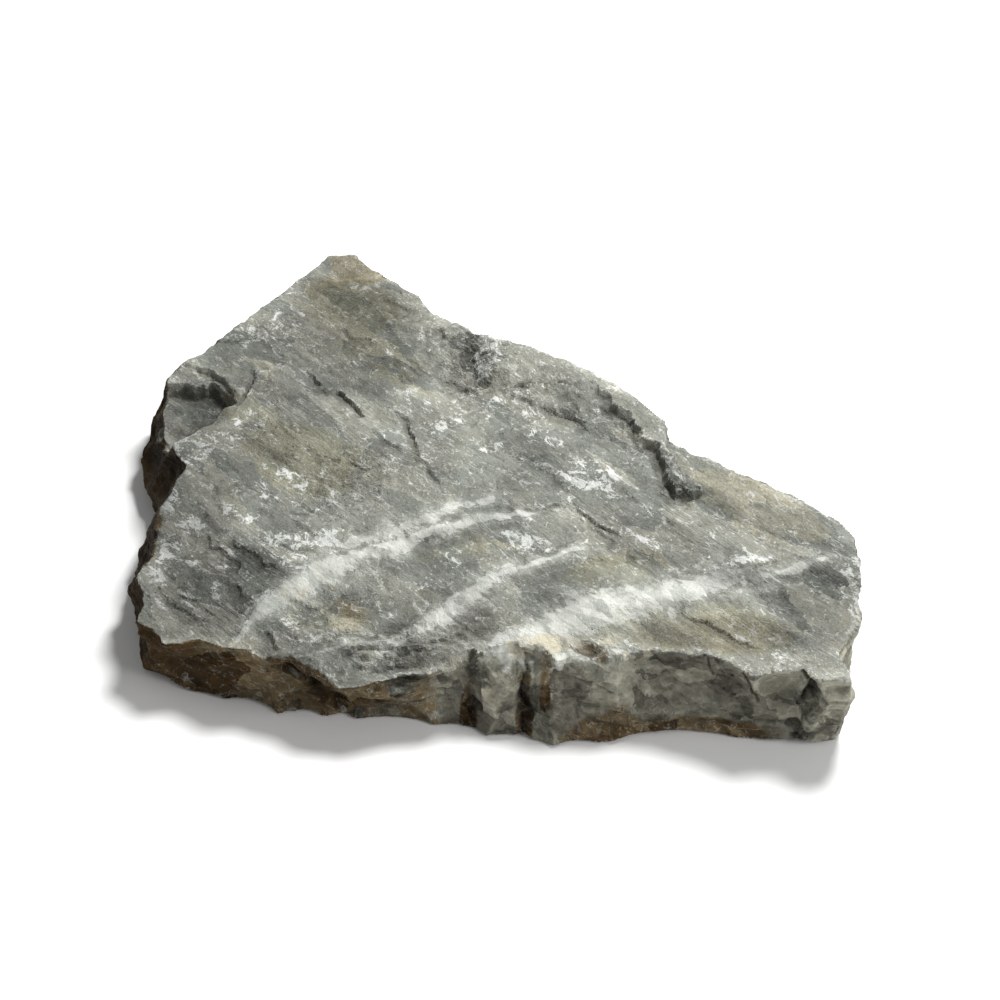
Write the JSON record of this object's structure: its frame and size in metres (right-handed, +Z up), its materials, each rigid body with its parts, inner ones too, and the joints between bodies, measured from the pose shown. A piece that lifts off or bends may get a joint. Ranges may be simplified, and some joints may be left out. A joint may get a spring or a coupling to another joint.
{
  "type": "rough marble slab",
  "caption": "rough split slab of grey marble with white calcite seams, riven top, broken edges and a flat bed to rest on",
  "frame": {"origin": "middle of the footprint's bounding box, on the surface the slab rests on", "axes": "+Z up through the thickness, +X along the longest side of the footprint, -Y towards the long broken face at the front"},
  "size_m": [0.4113, 0.3657, 0.0732],
  "materials": {
    "marble": "split, dull"
  },
  "bodies": {
    "root": {"marble_slab": "marble"}
  },
  "joints": []
}
